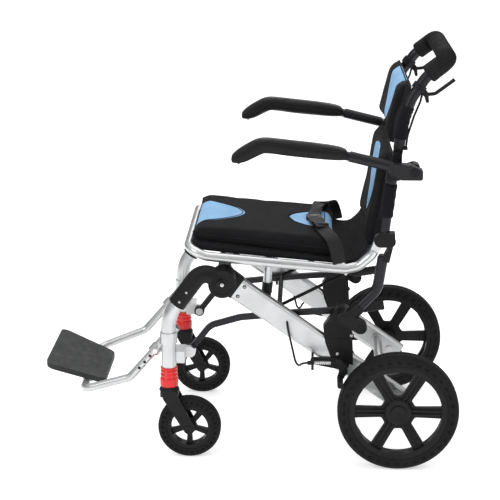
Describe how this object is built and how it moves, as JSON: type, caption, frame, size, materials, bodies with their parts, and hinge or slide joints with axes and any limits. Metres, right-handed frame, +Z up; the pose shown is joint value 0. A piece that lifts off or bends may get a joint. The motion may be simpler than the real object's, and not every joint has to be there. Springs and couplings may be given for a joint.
{
  "type": "manual wheelchair",
  "caption": "Folding attendant wheelchair with flip-up armrests, fold-down push handle, swivel casters, hand-lever brakes and a height-adjustable footrest.",
  "frame": {"origin": "on the floor under the middle of the bounding box", "axes": "+X to the chair's left side, front towards -Y, +Z up"},
  "size_m": [0.568, 0.978, 0.9565],
  "materials": {
    "alu": "satin silver anodised tube",
    "black_cast": "matte black coated casting",
    "steel": "zinc plated",
    "red": "gloss red moulding",
    "rim": "black glass-filled nylon",
    "tyre": "black solid rubber",
    "rubber": "black ribbed rubber",
    "black_plastic": "black moulding",
    "plate": "dark grey textured moulding",
    "fabric": "black mesh fabric with light blue panels",
    "web": "black woven webbing",
    "foam": "black foam",
    "cable": "black sheathed cable"
  },
  "bodies": {
    "front_frame": {"front_legs": "alu", "elbow_castings": "black_cast", "front_boots": "red", "link_brackets": "black_cast", "main_cross_tube": "alu", "front_fasteners": "steel", "hanger_collars": "black_cast"},
    "footrest_hangers_body": {"footrest_hangers": "alu"},
    "footrest": {"footrest_frame": "alu"},
    "footplate_body": {"footplate": "plate"},
    "button_left": {"height_button_left": "steel"},
    "button_right": {"height_button_right": "steel"},
    "rear_beams": {"rear_beams": "alu", "beam_hinges": "black_cast", "beam_uprights": "black_cast", "rear_cross_tube": "alu", "rear_axles": "steel", "brake_brackets": "black_cast", "brake_springs": "steel", "lower_brake_cables": "cable", "beam_fasteners": "steel"},
    "seat_frame": {"seat_frame_tube": "alu", "seat_pivot_frame": "alu", "seat_struts": "alu", "strut_feet": "black_plastic", "seat_sling": "fabric", "seat_cushion": "fabric", "seat_belt": "web", "belt_buckle": "black_plastic"},
    "latch": {"fold_latch": "black_cast"},
    "link_bars": {"link_bars": "black_cast", "tipping_pegs": "rubber"},
    "back_frame": {"back_posts": "black_cast", "back_castings": "black_cast", "lower_back_tubes": "alu", "back_pad_lower": "fabric", "arm_brackets": "black_cast"},
    "upper_back": {"handle_arch": "black_cast", "foam_grip": "foam", "upper_knuckles": "black_cast", "upper_brake_cables": "cable", "back_pad_upper": "fabric"},
    "caster_fork_body_left": {"caster_fork_left": "black_cast"},
    "caster_wheel_left": {"caster_rim_left": "rim", "caster_tyre_left": "tyre"},
    "rear_wheel_left": {"rear_rim_left": "rim", "rear_tyre_left": "tyre"},
    "armrest_left": {"arm_tube_left": "black_cast", "arm_pad_left": "black_plastic"},
    "lever_left": {"brake_lever_left": "black_plastic"},
    "brake_left": {"brake_arm_left": "black_cast"},
    "caster_fork_body_right": {"caster_fork_right": "black_cast"},
    "caster_wheel_right": {"caster_rim_right": "rim", "caster_tyre_right": "tyre"},
    "rear_wheel_right": {"rear_rim_right": "rim", "rear_tyre_right": "tyre"},
    "armrest_right": {"arm_tube_right": "black_cast", "arm_pad_right": "black_plastic"},
    "lever_right": {"brake_lever_right": "black_plastic"},
    "brake_right": {"brake_arm_right": "black_cast"}
  },
  "joints": [
    {"name": "seat_fold", "type": "hinge", "parent": "front_frame", "child": "seat_frame", "pos_m": [0, -0.058, 0.427], "axis": [1, 0, 0], "range_deg": [-66, 0]},
    {"name": "beam_fold", "type": "hinge", "parent": "front_frame", "child": "rear_beams", "pos_m": [0, -0.058, 0.427], "axis": [1, 0, 0], "range_deg": [-47.2, 0]},
    {"name": "link_fold", "type": "hinge", "parent": "front_frame", "child": "link_bars", "pos_m": [0, -0.138, 0.242], "axis": [1, 0, 0], "range_deg": [-66, 0]},
    {"name": "back_fold", "type": "hinge", "parent": "seat_frame", "child": "back_frame", "pos_m": [0, 0.303, 0.531], "axis": [1, 0, 0], "range_deg": [0, 66]},
    {"name": "latch_lift", "type": "hinge", "parent": "seat_frame", "child": "latch", "pos_m": [0, 0.227, 0.427], "axis": [1, 0, 0], "range_deg": [-25, 0]},
    {"name": "upper_back_fold", "type": "hinge", "parent": "back_frame", "child": "upper_back", "pos_m": [0, 0.335, 0.727], "axis": [1, 0, 0], "range_deg": [-90, 0]},
    {"name": "footrest_swing", "type": "hinge", "parent": "front_frame", "child": "footrest_hangers_body", "pos_m": [0, -0.182, 0.294], "axis": [1, 0, 0], "range_deg": [-100, 0]},
    {"name": "footrest_slide", "type": "slide", "parent": "footrest_hangers_body", "child": "footrest", "axis": [0, -0.6532, -0.7572], "range_m": [-0.01, 0.04]},
    {"name": "footplate_flip", "type": "hinge", "parent": "footrest", "child": "footplate_body", "pos_m": [0, -0.396, 0.139], "axis": [1, 0, 0], "range_deg": [-75, 0]},
    {"name": "caster_swivel_left", "type": "hinge", "parent": "front_frame", "child": "caster_fork_body_left", "pos_m": [0.21, -0.184, 0.175], "axis": [0, 0, 1], "continuous": true},
    {"name": "caster_spin_left", "type": "hinge", "parent": "caster_fork_body_left", "child": "caster_wheel_left", "pos_m": [0.21, -0.137, 0.074], "axis": [1, 0, 0], "continuous": true},
    {"name": "rear_spin_left", "type": "hinge", "parent": "rear_beams", "child": "rear_wheel_left", "pos_m": [0.262, 0.349, 0.14], "axis": [1, 0, 0], "continuous": true},
    {"name": "armrest_flip_left", "type": "hinge", "parent": "back_frame", "child": "armrest_left", "pos_m": [0.259, 0.371, 0.703], "axis": [1, 0, 0], "range_deg": [-95, 0]},
    {"name": "brake_lever_left", "type": "hinge", "parent": "upper_back", "child": "lever_left", "pos_m": [0.185, 0.3965, 0.863], "axis": [1, 0, 0], "range_deg": [0, 14], "stiffness_Nm_per_rad": 0.5, "springref_deg": -11.46},
    {"name": "brake_arm_turn_left", "type": "hinge", "parent": "rear_beams", "child": "brake_left", "pos_m": [0.231, 0.223, 0.224], "axis": [1, 0, 0], "range_deg": [0, 6]},
    {"name": "height_button_press_left", "type": "slide", "parent": "footrest_hangers_body", "child": "button_left", "axis": [1, 0, 0], "range_m": [0, 0.003], "stiffness_N_per_m": 300, "springref_m": -0.004},
    {"name": "caster_swivel_right", "type": "hinge", "parent": "front_frame", "child": "caster_fork_body_right", "pos_m": [-0.21, -0.184, 0.175], "axis": [0, 0, 1], "continuous": true},
    {"name": "caster_spin_right", "type": "hinge", "parent": "caster_fork_body_right", "child": "caster_wheel_right", "pos_m": [-0.21, -0.137, 0.074], "axis": [1, 0, 0], "continuous": true},
    {"name": "rear_spin_right", "type": "hinge", "parent": "rear_beams", "child": "rear_wheel_right", "pos_m": [-0.262, 0.349, 0.14], "axis": [1, 0, 0], "continuous": true},
    {"name": "armrest_flip_right", "type": "hinge", "parent": "back_frame", "child": "armrest_right", "pos_m": [-0.259, 0.371, 0.703], "axis": [1, 0, 0], "range_deg": [-95, 0]},
    {"name": "brake_lever_right", "type": "hinge", "parent": "upper_back", "child": "lever_right", "pos_m": [-0.185, 0.3965, 0.863], "axis": [1, 0, 0], "range_deg": [0, 14], "stiffness_Nm_per_rad": 0.5, "springref_deg": -11.46},
    {"name": "brake_arm_turn_right", "type": "hinge", "parent": "rear_beams", "child": "brake_right", "pos_m": [-0.231, 0.223, 0.224], "axis": [1, 0, 0], "range_deg": [0, 6]},
    {"name": "height_button_press_right", "type": "slide", "parent": "footrest_hangers_body", "child": "button_right", "axis": [-1, 0, 0], "range_m": [0, 0.003], "stiffness_N_per_m": 300, "springref_m": -0.004}
  ],
  "couplings": [
    {"joint": "beam_fold", "follows": "seat_fold", "ratio": 0.714},
    {"joint": "link_fold", "follows": "seat_fold", "ratio": 1},
    {"joint": "back_fold", "follows": "seat_fold", "ratio": -1},
    {"joint": "brake_arm_turn_left", "follows": "brake_lever_left", "ratio": 0.4286},
    {"joint": "brake_arm_turn_right", "follows": "brake_lever_right", "ratio": 0.4286}
  ]
}
